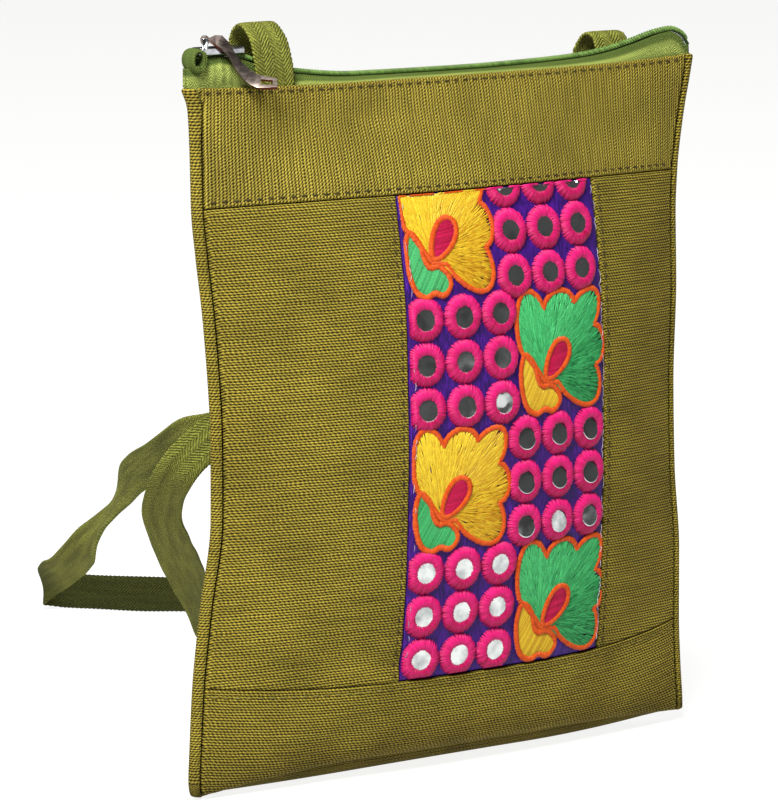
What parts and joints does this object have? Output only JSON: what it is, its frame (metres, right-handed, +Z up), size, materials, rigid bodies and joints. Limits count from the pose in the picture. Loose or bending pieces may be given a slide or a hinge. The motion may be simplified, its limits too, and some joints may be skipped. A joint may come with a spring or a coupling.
{
  "type": "embroidered sling bag",
  "caption": "Small zip-topped jute sling bag, stuffed and standing, with a mirror-work embroidered panel on its front and a long webbing strap laid out behind it.",
  "frame": {"origin": "on the floor under the middle of the bag's width and thickness", "axes": "+X to the right seen from the front, -Y the way the embroidered front faces, +Z up"},
  "size_m": [0.2144, 0.3497, 0.2576],
  "materials": {
    "jute": "ribbed olive jute cloth",
    "embroidery": "indigo ground under glossy thread embroidery",
    "webbing": "olive herringbone webbing",
    "zip_tape": "light green herringbone tape",
    "zip_coil": "green nylon coil",
    "chrome": "bright plated slider",
    "puller_metal": "grey-pink metal leaf with dark edges",
    "mirror": "silvered glass disc"
  },
  "bodies": {
    "bag": {"back_panel": "jute", "bottom_band": "jute", "embroidered_panel": "embroidery", "left_panel": "jute", "mirror_lower_left_1_1": "mirror", "mirror_lower_left_1_2": "mirror", "mirror_lower_left_1_3": "mirror", "mirror_lower_left_2_1": "mirror", "mirror_lower_left_2_2": "mirror", "mirror_lower_left_2_3": "mirror", "mirror_lower_left_3_1": "mirror", "mirror_lower_left_3_2": "mirror", "mirror_lower_left_3_3": "mirror", "mirror_lower_right_1_1": "mirror", "mirror_lower_right_1_2": "mirror", "mirror_lower_right_1_3": "mirror", "mirror_lower_right_2_1": "mirror", "mirror_lower_right_2_2": "mirror", "mirror_lower_right_2_3": "mirror", "mirror_lower_right_3_1": "mirror", "mirror_lower_right_3_2": "mirror", "mirror_lower_right_3_3": "mirror", "mirror_upper_left_1_1": "mirror", "mirror_upper_left_1_2": "mirror", "mirror_upper_left_1_3": "mirror", "mirror_upper_left_2_1": "mirror", "mirror_upper_left_2_2": "mirror", "mirror_upper_left_2_3": "mirror", "mirror_upper_left_3_1": "mirror", "mirror_upper_left_3_2": "mirror", "mirror_upper_left_3_3": "mirror", "mirror_upper_right_1_1": "mirror", "mirror_upper_right_1_2": "mirror", "mirror_upper_right_1_3": "mirror", "mirror_upper_right_2_1": "mirror", "mirror_upper_right_2_2": "mirror", "mirror_upper_right_2_3": "mirror", "mirror_upper_right_3_1": "mirror", "mirror_upper_right_3_2": "mirror", "mirror_upper_right_3_3": "mirror", "right_panel": "jute", "strap": "webbing", "top_band": "jute", "zip_coil": "zip_coil", "zip_slider": "chrome", "zip_tape_back": "zip_tape", "zip_tape_front": "zip_tape"},
    "puller": {"zip_puller": "puller_metal"}
  },
  "joints": [
    {"name": "puller_hinge", "type": "hinge", "parent": "bag", "child": "puller", "pos_m": [-0.096, 0, 0.25278], "axis": [-0.5299, -0.848, 0], "range_deg": [0, 150]}
  ]
}
